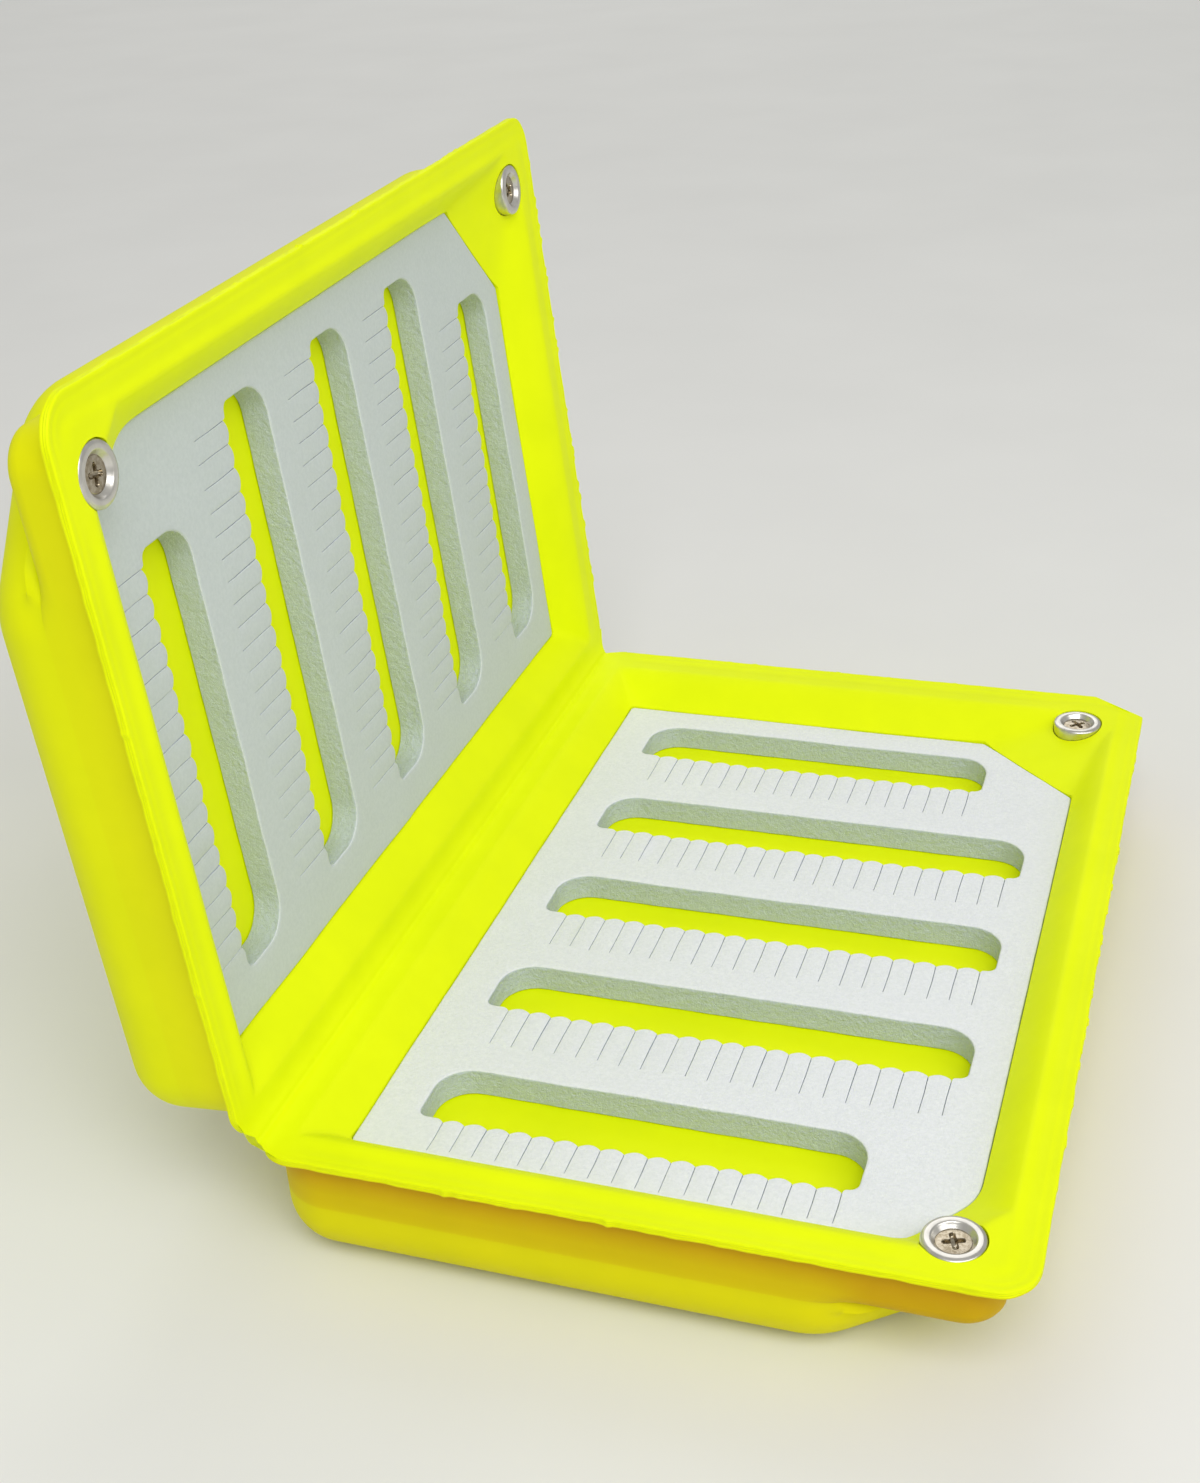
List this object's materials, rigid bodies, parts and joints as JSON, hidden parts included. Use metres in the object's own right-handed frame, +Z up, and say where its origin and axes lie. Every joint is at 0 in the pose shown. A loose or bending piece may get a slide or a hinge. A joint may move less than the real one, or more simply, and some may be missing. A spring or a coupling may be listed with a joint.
{
  "type": "fly box",
  "caption": "Pocket fly box of moulded foam with a living hinge, slotted foam inserts and a magnetic closure.",
  "frame": {"origin": "centre of the base tray's flat underside, on the surface that it rests on", "axes": "+Z up, +X from the hinge line to the free edge of the base, +Y along the hinge from front to back"},
  "size_m": [0.1257, 0.149, 0.1176],
  "materials": {
    "moulded_foam": "satin moulded EVA foam skin",
    "insert_foam": "matt closed-cell foam sheet",
    "adhesive": "transfer adhesive film",
    "nickel_plate": "bright nickel plate",
    "screw_steel": "zinc-plated steel",
    "anchor_plastic": "natural nylon"
  },
  "bodies": {
    "base": {"base_shell": "moulded_foam", "hinge_web": "moulded_foam", "base_foam_insert": "insert_foam", "base_insert_adhesive": "adhesive", "base_magnet_front": "nickel_plate", "base_screw_front": "screw_steel", "base_anchor_front": "anchor_plastic", "base_magnet_back": "nickel_plate", "base_screw_back": "screw_steel", "base_anchor_back": "anchor_plastic"},
    "lid": {"lid_shell": "moulded_foam", "lid_foam_insert": "insert_foam", "lid_insert_adhesive": "adhesive", "lid_magnet_front": "nickel_plate", "lid_screw_front": "screw_steel", "lid_anchor_front": "anchor_plastic", "lid_magnet_back": "nickel_plate", "lid_screw_back": "screw_steel", "lid_anchor_back": "anchor_plastic"}
  },
  "joints": [
    {"name": "lid_hinge", "type": "hinge", "parent": "base", "child": "lid", "pos_m": [-0.05, 0, 0.018], "axis": [0, 1, 0], "range_deg": [-85, 95]}
  ]
}
